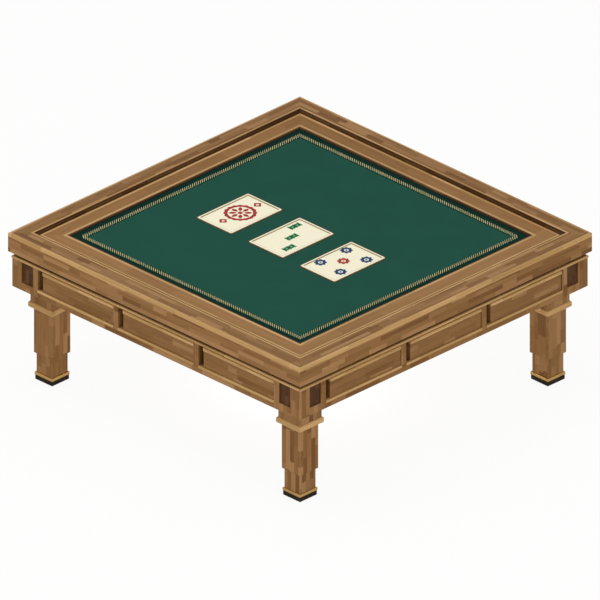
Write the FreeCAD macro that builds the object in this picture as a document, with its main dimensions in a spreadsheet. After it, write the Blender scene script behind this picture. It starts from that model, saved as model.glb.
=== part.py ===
"""Low square games table with a lift-out felt board and twelve counter trays in its apron.

Millimetres, +Z up. The origin is on the floor, below the centre of the table. The south side faces -Y.
Every piece of one side is drawn for the south side and turned to the other three.
"""

import FreeCAD
import Part
import Sketcher
import os
import re

SIDES = ("south", "east", "north", "west")
CORNERS = ("south_west", "south_east", "north_east", "north_west")
PLACES = ("left", "middle", "right")
QUARTER_TURNS = ((1, 0), (0, 1), (-1, 0), (0, -1))
UP = FreeCAD.Vector(0, 0, 1)
PARTS_FOLDER = "parts"
ROUND_OFF = 1e-4

DRIVING = {
    # whole table
    "table_side": 900,
    "table_height": 360,
    # rim that frames the top
    "rim_width": 41.5,
    "rim_height": 46,
    "lipping_width": 5,
    "lipping_height": 9,
    "lipping_round": 1.2,
    "rim_round": 1.5,
    "edging_width": 6.2,
    "edging_height": 3,
    "ledger_width": 20,
    # dark shadow line between rim and apron
    "batten_inset": 10,
    "batten_height": 9.5,
    # apron
    "apron_inset": 6,
    "apron_thickness": 22,
    "top_rail_proud": 1,
    "top_rail_height": 6,
    "top_rail_round": 2,
    "bay_height": 50.5,
    "bottom_rail_height": 18.5,
    "tenon_length": 12,
    "tenon_thickness": 8,
    "tenon_shoulder": 3,
    "sill_height": 6,
    "sill_let_in": 5,
    "sill_proud": 1.5,
    "sill_round": 1.2,
    "muntin_width": 14.5,
    "post_width": 80,
    "post_round": 2,
    "inlay_margin": 30,
    "inlay_width": 35,
    "inlay_thickness": 4,
    "inlay_recess": 2.5,
    # carcass behind the apron
    "inner_rail_width": 16,
    "board_rest_gap": 0.3,
    "floor_thickness": 8,
    "guide_width": 4,
    "guide_height": 8,
    "guide_gap": 0.5,
    "stop_gap": 3.5,
    "stop_depth": 6,
    "stop_height": 9,
    # counter trays
    "slot_width": 14,
    "tray_side_gap": 1,
    "face_setback": 1.5,
    "face_thickness": 18,
    "face_round": 1.2,
    "face_sill_gap": 0.8,
    "face_top_gap": 2,
    "lip_height": 8,
    "lip_let_in": 6,
    "lip_proud": 3,
    "lip_round": 2.5,
    "least_box_inset": 8,
    "tray_wall": 7,
    "tray_bottom": 5,
    "tray_running_gap": 0.3,
    "tray_stop_gap": 5,
    "tray_back_gap": 3,
    "tray_rear_gap": 2,
    # lift-out playing board
    "board_gap": 6.5,
    "board_drop": 6,
    "board_thickness": 22,
    "band_width": 43,
    "felt_recess": 4,
    "felt_thickness": 3,
    "tile_width": 110,
    "tile_length": 162,
    "tile_thickness": 5,
    "tile_corner": 6,
    "tile_border": 6,
    "tile_dish": 0.8,
    "tile_round": 1.2,
    "tile_pitch": 159,
    "tile_row_x": -9,
    "tile_row_y": -18,
    "tile_clearance": 0.3,
    # legs
    "leg_setback": 6,
    "leg_block": 68,
    "leg_rise": 32.5,
    "leg_clearance": 2,
    "leg_shaft": 57.2,
    "leg_ankle": 49,
    "leg_round": 2,
    "ankle_height": 66.5,
    "collar_wall": 8.4,
    "collar_height": 15,
    "collar_drop": 37,
    "collar_round": 4,
    "ferrule_wall": 2.5,
    "ferrule_height": 7,
    "ferrule_round": 1,
    "foot_side": 52,
    "foot_height": 11.5,
    "foot_chamfer": 0.5,
    # leg fixing
    "corner_block_margin": 16,
    "bolt_radius": 5,
    "bolt_in_leg": 50,
    "bolt_spare": 4,
    "bolt_clearance": 0.1,
    "washer_radius": 10,
    "washer_height": 2,
    "nut_flats": 17,
    "nut_height": 8,
}

DERIVED = {
    "half_side": "table_side / 2",
    "rim_base": "table_height - rim_height",
    "rim_inner": "half_side - rim_width",
    "batten_base": "rim_base - batten_height",
    "top_rail_base": "batten_base - top_rail_height",
    "bay_base": "top_rail_base - bay_height",
    "apron_base": "bay_base - bottom_rail_height",
    "apron_half": "half_side - apron_inset",
    "apron_inner": "apron_half - apron_thickness",
    "bay_width": "(2 * apron_half - 2 * post_width - 2 * muntin_width) / 3",
    "bay_pitch": "bay_width + muntin_width",
    "face_back": "apron_half - face_setback - face_thickness",
    "top_rail_outer": "apron_half + top_rail_proud",
    "top_rail_inner": "face_back - stop_gap - stop_depth",
    "batten_outer": "half_side - batten_inset",
    "leg_centre": "apron_inner - leg_setback - leg_block / 2",
    "leg_top": "apron_base + leg_rise",
    "collar_base": "apron_base - collar_drop - collar_height",
    "inner_rail_outer": "leg_centre - leg_block / 2 - leg_clearance",
    "board_top": "table_height - board_drop",
    "board_base": "board_top - board_thickness",
    "board_half": "rim_inner - board_gap",
    "well_half": "board_half - band_width",
    "felt_top": "board_top - felt_recess",
    "core_top": "felt_top - felt_thickness",
    "face_width": "bay_width - slot_width - tray_side_gap",
    "face_height": "bay_height - face_sill_gap - face_top_gap",
    "guide_reach": "apron_half - inner_rail_outer + guide_width + guide_gap",
    "box_inset": "max(least_box_inset; guide_reach - post_width - tray_side_gap)",
    "box_width": "face_width - 2 * box_inset",
    "box_rear": "inner_rail_outer + tray_rear_gap",
    "tray_base": "bay_base + tray_running_gap",
    "tray_side_height": "bay_height - stop_height - tray_running_gap - tray_stop_gap",
    "tray_back_height": "bay_height - tray_running_gap - tray_back_gap",
    "bolt_hole": "bolt_radius + bolt_clearance",
    "bolt_top": "top_rail_base + washer_height + nut_height + bolt_spare",
}

ALIASES = set(DRIVING) | set(DERIVED)

doc = FreeCAD.newDocument("games_table")
nodes = []


def fill_sheet():
    """Writes the driving dimensions as plain numbers, then the values that follow from them."""
    sheet = doc.addObject("Spreadsheet::Sheet", "sizes")
    cells = {name: str(value) for name, value in DRIVING.items()}
    cells.update({name: f"={formula}" for name, formula in DERIVED.items()})
    for row, (name, content) in enumerate(cells.items(), start=1):
        sheet.set(f"A{row}", name)
        sheet.set(f"B{row}", content)
        sheet.setAlias(f"B{row}", name)
    doc.recompute()
    return sheet


sizes = fill_sheet()


def from_sheet(text):
    """The same formula with every size named as a cell of the sheet."""
    return re.sub(r"[a-z_]+", lambda m: f"sizes.{m[0]}" if m[0] in ALIASES else m[0], text)


def bind(piece, **formulas):
    """Binds properties of a piece to formulas of the sheet's sizes."""
    for name, text in formulas.items():
        piece.setExpression(name, from_sheet(text))


def place(piece, x, y, z, quarter=0):
    """Puts a piece at a point of the south side, then turns both round the table by quarter turns."""
    cos, sin = QUARTER_TURNS[quarter]
    piece.Placement = FreeCAD.Placement(FreeCAD.Vector(), FreeCAD.Rotation(UP, 90 * quarter))
    piece.setExpression("Placement.Base.x", from_sheet(f"({x}) * {cos} - ({y}) * {sin}"))
    piece.setExpression("Placement.Base.y", from_sheet(f"({x}) * {sin} + ({y}) * {cos}"))
    piece.setExpression("Placement.Base.z", from_sheet(z))


def block(name, x, y, z, length, width, height, quarter=0):
    """A box with its lowest corner at x, y, z on the south side."""
    piece = doc.addObject("Part::Box", name)
    bind(piece, Length=length, Width=width, Height=height)
    place(piece, x, y, z, quarter)
    return piece


def rod(name, x, y, z, radius, height, quarter=0):
    """An upright cylinder standing on x, y, z of the south side."""
    piece = doc.addObject("Part::Cylinder", name)
    bind(piece, Radius=radius, Height=height)
    place(piece, x, y, z, quarter)
    return piece


def mitred_strip(name, outer, width, base, height, quarter):
    """One side of a square frame, mitred at both ends. outer is half the frame's outside size."""
    piece = doc.addObject("Part::Wedge", name)
    inner = f"({outer}) - ({width})"
    bind(piece, Xmin=f"-({outer})", Xmax=outer, X2min=f"-({inner})", X2max=inner)
    bind(piece, Ymin=f"-({outer})", Ymax=f"-({inner})")
    bind(piece, Zmin=base, Zmax=f"({base}) + ({height})")
    bind(piece, Z2min=base, Z2max=f"({base}) + ({height})")
    place(piece, "0", "0", "0", quarter)
    return piece


def group(name, pieces):
    """Several separate solids kept as one object."""
    piece = doc.addObject("Part::Compound", name)
    piece.Links = pieces
    return piece


def cut(name, base, tools):
    """A piece with the space of its tools taken out."""
    piece = doc.addObject("Part::Cut", name)
    piece.Base = base
    piece.Tool = tools[0] if len(tools) == 1 else group(f"{name}_tools", tools)
    return piece


def fuse(name, pieces):
    """Parts of one solid joined."""
    piece = doc.addObject("Part::MultiFuse", name)
    piece.Shapes = pieces
    return piece


def round_edges(name, base, radius, wanted):
    """A piece with some edges rounded. wanted picks edges by their bounding box."""
    doc.recompute()
    piece = doc.addObject("Part::Fillet", name)
    piece.Base = base
    piece.Edges = [
        (number, radius, radius)
        for number, edge in enumerate(base.Shape.Edges, start=1)
        if wanted(edge.BoundBox)
    ]
    return piece


def node(piece, label):
    """Names a finished sub-part, which becomes a file of its own."""
    piece.Label = label
    nodes.append(piece)
    return piece


def new_body(name, x, y, z, quarter=0):
    """An empty body that stands on a point of the south side."""
    body = doc.addObject("PartDesign::Body", name)
    place(body, x, y, z, quarter)
    return body


def plan_sketch(body, name, base):
    """An empty sketch level with the floor, at a height above the body's own foot."""
    sketch = body.newObject("Sketcher::SketchObject", name)
    plane = next(f for f in body.Origin.OriginFeatures if f.Role == "XY_Plane")
    sketch.AttachmentSupport = [(plane, "")]
    sketch.MapMode = "FlatFace"
    bind(sketch, **{"AttachmentOffset.Base.z": base})
    return sketch


def draw_rectangle(sketch, label, width, depth, x="0", y="0"):
    """A rectangle of named width and depth, centred on a point of the sketch."""
    half_w, half_d = 1.0, 1.0
    corners = [(-half_w, -half_d), (half_w, -half_d), (half_w, half_d), (-half_w, half_d)]
    points = [FreeCAD.Vector(px, py, 0) for px, py in corners]
    first = sketch.GeometryCount
    for i in range(4):
        sketch.addGeometry(Part.LineSegment(points[i], points[(i + 1) % 4]))
    for i in range(4):
        sketch.addConstraint(Sketcher.Constraint("Coincident", first + i, 2, first + (i + 1) % 4, 1))
    for i, kind in enumerate(("Horizontal", "Vertical", "Horizontal", "Vertical")):
        sketch.addConstraint(Sketcher.Constraint(kind, first + i))
    measures = (
        ("width", Sketcher.Constraint("DistanceX", first, 1, first, 2, 2 * half_w), width),
        ("depth", Sketcher.Constraint("DistanceY", first + 1, 1, first + 1, 2, 2 * half_d), depth),
        ("x", Sketcher.Constraint("DistanceX", -1, 1, first, 1, -half_w), f"({x}) - ({width}) / 2"),
        ("y", Sketcher.Constraint("DistanceY", -1, 1, first, 1, -half_d), f"({y}) - ({depth}) / 2"),
    )
    for what, constraint, formula in measures:
        number = sketch.addConstraint(constraint)
        sketch.renameConstraint(number, f"{label}_{what}")
        sketch.setExpression(f"Constraints.{label}_{what}", from_sheet(formula))


def draw_circle(sketch, label, radius):
    """A circle round the sketch's own origin."""
    number = sketch.addGeometry(Part.Circle(FreeCAD.Vector(), UP, 1.0))
    sketch.addConstraint(Sketcher.Constraint("Coincident", number, 3, -1, 1))
    constraint = sketch.addConstraint(Sketcher.Constraint("Radius", number, 1.0))
    sketch.renameConstraint(constraint, label)
    sketch.setExpression(f"Constraints.{label}", from_sheet(radius))


def draw_hexagon(sketch, label, flats):
    """A regular hexagon round the sketch's own origin, given across its flats."""
    ring = sketch.addGeometry(Part.Circle(FreeCAD.Vector(), UP, 1.0), True)
    sketch.addConstraint(Sketcher.Constraint("Coincident", ring, 3, -1, 1))
    turn = FreeCAD.Rotation(UP, 60)
    points = [FreeCAD.Vector(1, 0, 0)]
    for _ in range(5):
        points.append(turn.multVec(points[-1]))
    first = sketch.GeometryCount
    for i in range(6):
        sketch.addGeometry(Part.LineSegment(points[i], points[(i + 1) % 6]))
    for i in range(6):
        sketch.addConstraint(Sketcher.Constraint("Coincident", first + i, 2, first + (i + 1) % 6, 1))
        sketch.addConstraint(Sketcher.Constraint("PointOnObject", first + i, 1, ring))
    for i in range(5):
        sketch.addConstraint(Sketcher.Constraint("Equal", first + i, first + i + 1))
    sketch.addConstraint(Sketcher.Constraint("PointOnObject", first, 1, -1))
    constraint = sketch.addConstraint(Sketcher.Constraint("Radius", ring, 1.0))
    sketch.renameConstraint(constraint, label)
    sketch.setExpression(f"Constraints.{label}", from_sheet(f"({flats}) / sqrt(3)"))


def pad(body, sketch, height):
    """Raises a sketch into material."""
    feature = body.newObject("PartDesign::Pad", f"{sketch.Name}_pad")
    feature.Profile = sketch
    bind(feature, Length=height)
    sketch.Visibility = False
    doc.recompute()
    return feature


def pocket(body, sketch, depth):
    """Sinks a sketch down into material, and checks that it took some away."""
    before = body.Shape.Volume
    feature = body.newObject("PartDesign::Pocket", f"{sketch.Name}_pocket")
    feature.Profile = sketch
    bind(feature, Length=depth)
    sketch.Visibility = False
    doc.recompute()
    if body.Shape.Volume >= before:
        raise RuntimeError(f"{feature.Name} cuts nothing")
    return feature


def soften(body, kind, radius, wanted):
    """Rounds or chamfers the edges of a body that wanted picks by their bounding box."""
    base = body.Tip
    names = [f"Edge{n}" for n, edge in enumerate(base.Shape.Edges, start=1) if wanted(edge.BoundBox)]
    feature = body.newObject(f"PartDesign::{kind}", f"{body.Name}_{kind.lower()}")
    feature.Base = (base, names)
    bind(feature, **{"Radius" if kind == "Fillet" else "Size": radius})
    doc.recompute()
    return feature


def near(a, b):
    """True for two measures that are the same."""
    return abs(a - b) < ROUND_OFF


def upright(box):
    """True for an edge that stands straight up."""
    return box.ZLength > ROUND_OFF and box.XLength < ROUND_OFF and box.YLength < ROUND_OFF


def square_corner(box):
    """True for the upright corner edges of a square leg, which a round hole's seam isn't."""
    return upright(box) and near(abs(box.XMin), abs(box.YMin))


def level(box):
    """True for an edge that lies flat."""
    return box.ZLength < ROUND_OFF


def flat_at(box, z):
    """True for an edge that lies flat at a height."""
    return level(box) and near(box.ZMin, z)


def facing_out(piece, quarter):
    """A test for the edges of the face that a piece turns outwards on one side of the table."""
    doc.recompute()
    cos, sin = QUARTER_TURNS[quarter]

    def reach(box):
        return box.Center.x * sin - box.Center.y * cos

    face = max(reach(edge.BoundBox) for edge in piece.Shape.Edges)
    return lambda box: near(reach(box), face)


def build_rim():
    """Rim rails with their pale outer lipping and inner edging, and the ledgers that carry the board."""
    lippings, ledgers = [], []
    for quarter, side in enumerate(SIDES):
        lip = mitred_strip(
            f"lipping_blank_{side}", "half_side", "lipping_width",
            "table_height - lipping_height", "lipping_height", quarter,
        )
        edging = mitred_strip(
            f"rim_edging_{side}", "rim_inner + edging_width", "edging_width",
            "table_height - edging_height", "edging_height", quarter,
        )
        blank = mitred_strip(
            f"rim_blank_{side}", "half_side", "rim_width", "rim_base", "rim_height", quarter
        )
        rail = cut(f"rim_rail_blank_{side}", blank, [lip, edging])
        outside = facing_out(rail, quarter)
        rail = round_edges(
            f"rim_rail_{side}_body", rail, sizes.rim_round,
            lambda box: outside(box) and flat_at(box, sizes.rim_base),
        )
        node(rail, f"rim_rail_{side}")
        ledgers.append(mitred_strip(
            f"ledger_{side}", "rim_inner", "ledger_width", "rim_base", "board_base - rim_base", quarter
        ))
        outside = facing_out(lip, quarter)
        lippings.append(round_edges(
            f"lipping_{side}", lip, sizes.lipping_round,
            lambda box: outside(box) and flat_at(box, sizes.table_height),
        ))
        lippings.append(edging)
    node(group("rim_lipping_set", lippings), "rim_lipping")
    node(group("board_ledger_set", ledgers), "board_ledgers")


def build_shadow_line():
    """Dark battens that part the rim from the apron."""
    battens = [
        mitred_strip(
            f"batten_{side}", "batten_outer", "batten_outer - top_rail_inner",
            "batten_base", "batten_height", quarter,
        )
        for quarter, side in enumerate(SIDES)
    ]
    node(group("shadow_batten_set", battens), "shadow_battens")


def bay_start(place_number):
    """Formula for the left end of a bay's opening, along the south side."""
    return f"-apron_half + post_width + {place_number} * bay_pitch"


def build_apron():
    """Pale top rails, bottom rails tenoned into corner posts, muntins, sills and dark corner inlays."""
    top_rails, bottom_rails, muntins, sills, inlays = [], [], [], [], []
    for quarter, side in enumerate(SIDES):
        blank = mitred_strip(
            f"top_rail_blank_{side}", "top_rail_outer", "top_rail_outer - top_rail_inner",
            "top_rail_base", "top_rail_height", quarter,
        )
        outside = facing_out(blank, quarter)
        top_rails.append(round_edges(
            f"top_rail_{side}", blank, sizes.top_rail_round, lambda box: outside(box) and level(box)
        ))
        sill_blanks = [
            block(
                f"sill_blank_{side}_{name}", bay_start(i), "-apron_half - sill_proud",
                "bay_base - sill_height", "bay_width", "sill_proud + sill_let_in", "sill_height", quarter,
            )
            for i, name in enumerate(PLACES)
        ]
        outside = facing_out(sill_blanks[0], quarter)
        sills += [
            round_edges(
                f"sill_{side}_{name}", blank, sizes.sill_round, lambda box: outside(box) and level(box)
            )
            for name, blank in zip(PLACES, sill_blanks)
        ]
        rail = block(
            f"bottom_rail_blank_{side}", "-apron_half + post_width", "-apron_half", "apron_base",
            "2 * (apron_half - post_width)", "apron_thickness", "bottom_rail_height", quarter,
        )
        tenons = [
            block(
                f"tenon_{side}_{end}", x, "-apron_half + (apron_thickness - tenon_thickness) / 2",
                "apron_base + tenon_shoulder", "tenon_length", "tenon_thickness",
                "bottom_rail_height - 2 * tenon_shoulder", quarter,
            )
            for end, x in (
                ("left", "-apron_half + post_width - tenon_length"),
                ("right", "apron_half - post_width"),
            )
        ]
        tenoned = fuse(f"bottom_rail_tenoned_{side}", [rail, *tenons])
        bottom_rails.append(cut(f"bottom_rail_{side}", tenoned, sill_blanks))
        muntins += [
            block(
                f"muntin_{side}_{i}", f"{bay_start(i)} - muntin_width", "-apron_half", "bay_base",
                "muntin_width", "apron_thickness", "bay_height", quarter,
            )
            for i in (1, 2)
        ]
    for quarter, corner in enumerate(CORNERS):
        inlays += build_corner_post(quarter, corner)
    node(group("top_rail_set", top_rails), "apron_top_rails")
    node(group("bottom_rail_set", bottom_rails), "apron_bottom_rails")
    node(group("muntin_set", muntins), "apron_muntins")
    node(group("sill_set", sills), "sill_beads")
    node(group("inlay_set", inlays), "corner_inlays")


def build_corner_post(quarter, corner):
    """One L-shaped post, mortised for two bottom rails, with a pocket for an inlay in each outer face."""
    start = "-apron_half"
    height = "top_rail_base - apron_base"
    outside = block(
        f"post_blank_{corner}", start, start, "apron_base", "post_width", "post_width", height, quarter
    )
    inside = block(
        f"post_inside_{corner}", "-apron_inner", "-apron_inner", "apron_base",
        "post_width - apron_thickness", "post_width - apron_thickness", height, quarter,
    )
    across = f"{start} + inlay_margin"
    pocket_depth = "inlay_recess + inlay_thickness"
    pockets = [
        block(
            f"inlay_pocket_a_{corner}", across, start, "bay_base",
            "inlay_width", pocket_depth, "bay_height", quarter,
        ),
        block(
            f"inlay_pocket_b_{corner}", start, across, "bay_base",
            pocket_depth, "inlay_width", "bay_height", quarter,
        ),
    ]
    plates = [
        block(
            f"inlay_a_{corner}", across, f"{start} + inlay_recess", "bay_base",
            "inlay_width", "inlay_thickness", "bay_height", quarter,
        ),
        block(
            f"inlay_b_{corner}", f"{start} + inlay_recess", across, "bay_base",
            "inlay_thickness", "inlay_width", "bay_height", quarter,
        ),
    ]
    mortise_end = f"{start} + post_width - tenon_length"
    mortise_side = f"{start} + (apron_thickness - tenon_thickness) / 2"
    mortise_height = "bottom_rail_height - 2 * tenon_shoulder"
    mortises = [
        block(
            f"mortise_a_{corner}", mortise_end, mortise_side, "apron_base + tenon_shoulder",
            "tenon_length", "tenon_thickness", mortise_height, quarter,
        ),
        block(
            f"mortise_b_{corner}", mortise_side, mortise_end, "apron_base + tenon_shoulder",
            "tenon_thickness", "tenon_length", mortise_height, quarter,
        ),
    ]
    post = cut(f"corner_post_blank_{corner}", outside, [inside, *pockets, *mortises])
    one_face = facing_out(post, quarter)
    other_face = facing_out(post, quarter - 1)
    post = round_edges(
        f"corner_post_{corner}_body", post, sizes.post_round, lambda box: one_face(box) and other_face(box)
    )
    node(post, f"corner_post_{corner}")
    return plates


def build_carcass():
    """Inner rails, tray floors, guides and stops behind the apron."""
    inner_rails, floors, guides, stops = [], [], [], []
    for quarter, side in enumerate(SIDES):
        inner_rails.append(mitred_strip(
            f"inner_rail_{side}", "inner_rail_outer", "inner_rail_width", "apron_base",
            "board_base - board_rest_gap - apron_base", quarter,
        ))
        floors.append(block(
            f"tray_floor_{side}", "-inner_rail_outer", "-apron_inner", "bay_base - floor_thickness",
            "2 * inner_rail_outer", "apron_inner - inner_rail_outer", "floor_thickness", quarter,
        ))
        stops.append(block(
            f"tray_stop_{side}", "-inner_rail_outer", "-top_rail_inner - stop_depth",
            "top_rail_base - stop_height", "2 * inner_rail_outer", "stop_depth", "stop_height", quarter,
        ))
        for i, name in enumerate(PLACES):
            box_start = f"{bay_start(i)} + slot_width + box_inset"
            for end, x in (
                ("left", f"{box_start} - guide_gap - guide_width"),
                ("right", f"{box_start} + box_width + guide_gap"),
            ):
                guides.append(block(
                    f"guide_{side}_{name}_{end}", x, "-apron_inner", "bay_base",
                    "guide_width", "apron_inner - inner_rail_outer", "guide_height", quarter,
                ))
    node(group("inner_rail_set", inner_rails), "inner_rails")
    node(group("tray_floor_set", floors), "tray_floors")
    node(group("tray_guide_set", guides), "tray_guides")
    node(group("tray_stop_set", stops), "tray_stops")


def build_tray(quarter, side, place_number):
    """One counter tray: a face with a pale pull lip, and a box of two walls, back and bottom."""
    name = f"{side}_{PLACES[place_number]}"
    face_start = f"{bay_start(place_number)} + slot_width"
    face_front = "-apron_half + face_setback"
    face_base = "bay_base + face_sill_gap"
    lip_base = f"{face_base} + face_height - lip_height"
    lip_blank = block(
        f"lip_blank_{name}", face_start, f"{face_front} - lip_proud", lip_base,
        "face_width", "lip_proud + lip_let_in", "lip_height", quarter,
    )
    face_blank = block(
        f"face_blank_{name}", face_start, face_front, face_base,
        "face_width", "face_thickness", "face_height", quarter,
    )
    panel = cut(f"face_panel_blank_{name}", face_blank, [lip_blank])
    outside = facing_out(panel, quarter)
    panel = round_edges(
        f"face_panel_{name}", panel, sizes.face_round,
        lambda box: outside(box) and near(box.ZMin, sizes.bay_base + sizes.face_sill_gap),
    )
    lip = round_edges(f"lip_{name}", lip_blank, sizes.lip_round, facing_out(lip_blank, quarter))
    node(group(f"tray_{name}_face_set", [panel, lip]), f"tray_{name}_face")

    box_start = f"{face_start} + box_inset"
    box_depth = "face_back - box_rear"
    walls = [
        block(
            f"tray_wall_{name}_{end}", x, "-face_back", "tray_base",
            "tray_wall", box_depth, "tray_side_height", quarter,
        )
        for end, x in (
            ("left", box_start),
            ("right", f"{box_start} + box_width - tray_wall"),
        )
    ]
    back = block(
        f"tray_back_{name}", f"{box_start} + tray_wall", "-box_rear - tray_wall", "tray_base",
        "box_width - 2 * tray_wall", "tray_wall", "tray_back_height", quarter,
    )
    bottom = block(
        f"tray_bottom_{name}", f"{box_start} + tray_wall", "-face_back", "tray_base",
        "box_width - 2 * tray_wall", f"{box_depth} - tray_wall", "tray_bottom", quarter,
    )
    node(group(f"tray_{name}_box_set", [*walls, back, bottom]), f"tray_{name}_box")


def build_board():
    """Lift-out playing board: mitred band, pale edgings, core, felt and three inlaid tiles."""
    bands, edgings = [], []
    for quarter, side in enumerate(SIDES):
        strips = [
            mitred_strip(
                f"{where}_edging_{side}", outer, "edging_width",
                "board_top - edging_height", "edging_height", quarter,
            )
            for where, outer in (("outer", "board_half"), ("inner", "well_half + edging_width"))
        ]
        edgings += strips
        blank = mitred_strip(
            f"band_blank_{side}", "board_half", "band_width", "board_base", "board_thickness", quarter
        )
        bands.append(cut(f"band_{side}", blank, strips))
    node(group("band_set", bands), "board_band_rails")
    node(group("board_edging_set", edgings), "board_edging")
    core = block(
        "core", "-well_half", "-well_half", "board_base",
        "2 * well_half", "2 * well_half", "core_top - board_base",
    )
    node(core, "board_core")
    build_felt()
    for i, name in enumerate(PLACES):
        build_tile(i, name)


def tile_x(place_number):
    """Formula for the middle of a tile along the row."""
    return f"tile_row_x + {place_number - 1} * tile_pitch"


def build_felt():
    """Felt glued to the core, cut out round each tile."""
    body = new_body("felt_body", "0", "0", "core_top")
    sheet = plan_sketch(body, "felt_outline", "0")
    draw_rectangle(sheet, "felt", "2 * well_half", "2 * well_half")
    pad(body, sheet, "felt_thickness")
    holes = plan_sketch(body, "tile_holes", "felt_thickness")
    for i, name in enumerate(PLACES):
        draw_rectangle(
            holes, name, "tile_width + 2 * tile_clearance", "tile_length + 2 * tile_clearance",
            tile_x(i), "tile_row_y",
        )
    pocket(body, holes, "felt_thickness")
    well_edge = sizes.well_half - ROUND_OFF
    soften(
        body, "Fillet", "tile_corner + tile_clearance",
        lambda box: upright(box) and max(abs(box.XMin), abs(box.YMin)) < well_edge,
    )
    node(body, "felt")


def build_tile(place_number, name):
    """One tile plaque with round corners and a face dished inside a plain border."""
    body = new_body(f"tile_{name}_body", tile_x(place_number), "tile_row_y", "core_top")
    outline = plan_sketch(body, f"tile_{name}_outline", "0")
    draw_rectangle(outline, "tile", "tile_width", "tile_length")
    pad(body, outline, "tile_thickness")
    soften(body, "Fillet", "tile_corner", upright)
    face = plan_sketch(body, f"tile_{name}_face", "tile_thickness")
    draw_rectangle(face, "face", "tile_width - 2 * tile_border", "tile_length - 2 * tile_border")
    pocket(body, face, "tile_dish")

    def on_rim(box):
        """True for the edges round the outside of the tile's top."""
        at_side = near(max(-box.XMin, box.XMax), sizes.tile_width / 2)
        at_end = near(max(-box.YMin, box.YMax), sizes.tile_length / 2)
        return flat_at(box, sizes.tile_thickness) and (at_side or at_end)

    soften(body, "Fillet", "tile_round", on_rim)
    node(body, f"tile_{name}")


def build_legs():
    """Stepped legs with pale collars, brass ferrules and black feet."""
    collars, ferrules, feet = [], [], []
    for quarter, corner in enumerate(CORNERS):
        stand = ("-leg_centre", "-leg_centre", "0", quarter)
        leg = new_body(f"leg_{corner}_body", *stand)
        collar_top = "collar_base + collar_height"
        stages = (
            ("ankle", "leg_ankle", "foot_height", "ankle_height - foot_height"),
            ("shaft", "leg_shaft", "ankle_height", f"{collar_top} - ankle_height"),
            ("head", "leg_block", collar_top, f"leg_top - ({collar_top})"),
        )
        for stage, side, base, height in stages:
            outline = plan_sketch(leg, f"{stage}_{corner}", base)
            draw_rectangle(outline, stage, side, side)
            pad(leg, outline, height)
        hole = plan_sketch(leg, f"bolt_hole_{corner}", "leg_top")
        draw_circle(hole, "bolt_hole", "bolt_hole")
        pocket(leg, hole, "bolt_in_leg")
        soften(leg, "Fillet", "leg_round", square_corner)
        node(leg, f"leg_{corner}")
        collars.append(square_ring(
            f"collar_{corner}", stand, "leg_shaft", "collar_wall", "collar_base", "collar_height",
            "collar_round",
        ))
        ferrules.append(square_ring(
            f"ferrule_{corner}", stand, "leg_ankle", "ferrule_wall", "foot_height", "ferrule_height",
            "ferrule_round",
        ))
        foot = new_body(f"foot_{corner}", *stand)
        outline = plan_sketch(foot, f"foot_outline_{corner}", "0")
        draw_rectangle(outline, "foot", "foot_side", "foot_side")
        pad(foot, outline, "foot_height")
        soften(foot, "Chamfer", "foot_chamfer", lambda box: flat_at(box, 0))
        feet.append(foot)
    node(group("collar_set", collars), "leg_collars")
    node(group("ferrule_set", ferrules), "foot_ferrules")
    node(group("foot_set", feet), "foot_pads")


def square_ring(name, stand, inside, wall, base, height, rounding):
    """A square ring that fits round a square leg, with its outer edges rounded."""
    body = new_body(f"{name}_body", *stand)
    outline = plan_sketch(body, f"{name}_outline", base)
    outside = f"{inside} + 2 * {wall}"
    draw_rectangle(outline, "outside", outside, outside)
    draw_rectangle(outline, "inside", inside, inside)
    pad(body, outline, height)
    widest = max(edge.Length for edge in body.Shape.Edges)
    soften(body, "Fillet", rounding, lambda box: level(box) and near(max(box.XLength, box.YLength), widest))
    return body


def build_leg_fixings():
    """A corner block over each leg, and the hanger bolt, washer and nut that hold it there."""
    blocks, fixings = [], []
    for quarter, corner in enumerate(CORNERS):
        at_leg = ("-leg_centre", "-leg_centre")
        side = "leg_setback + leg_block / 2 + corner_block_margin"
        blank = block(
            f"corner_block_blank_{corner}", "-apron_inner", "-apron_inner", "leg_top",
            side, side, "top_rail_base - leg_top", quarter,
        )
        hole = rod(
            f"corner_block_hole_{corner}", *at_leg, "leg_top", "bolt_hole",
            "top_rail_base - leg_top", quarter,
        )
        blocks.append(cut(f"corner_block_{corner}", blank, [hole]))
        bolt = rod(
            f"hanger_bolt_{corner}", *at_leg, "leg_top - bolt_in_leg", "bolt_radius",
            "bolt_top - leg_top + bolt_in_leg", quarter,
        )
        stand = (*at_leg, "top_rail_base", quarter)
        washer = new_body(f"washer_{corner}", *stand)
        outline = plan_sketch(washer, f"washer_outline_{corner}", "0")
        draw_circle(outline, "outside", "washer_radius")
        draw_circle(outline, "inside", "bolt_hole")
        pad(washer, outline, "washer_height")
        nut = new_body(f"nut_{corner}", *stand)
        outline = plan_sketch(nut, f"nut_outline_{corner}", "washer_height")
        draw_hexagon(outline, "outside", "nut_flats")
        draw_circle(outline, "inside", "bolt_hole")
        pad(nut, outline, "nut_height")
        fixings += [bolt, washer, nut]
    node(group("corner_block_set", blocks), "corner_blocks")
    node(group("fixing_set", fixings), "leg_bolts_washers_nuts")


def write_parts():
    """Checks every object and writes each sub-part as a file."""
    doc.recompute()
    for piece in doc.Objects:
        if "Invalid" in piece.State or "Error" in piece.State:
            raise RuntimeError(f"{piece.Name} failed: {piece.State}")
    os.makedirs(PARTS_FOLDER, exist_ok=True)
    for piece in nodes:
        shape = piece.Shape
        if shape.isNull() or not shape.isValid() or not shape.Solids:
            raise RuntimeError(f"{piece.Label} has no valid solid")
        shape.exportStep(os.path.join(PARTS_FOLDER, f"{piece.Label}.step"))
    solids = sum(len(piece.Shape.Solids) for piece in nodes)
    print(f"{len(nodes)} sub-parts, {solids} solids")


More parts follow.
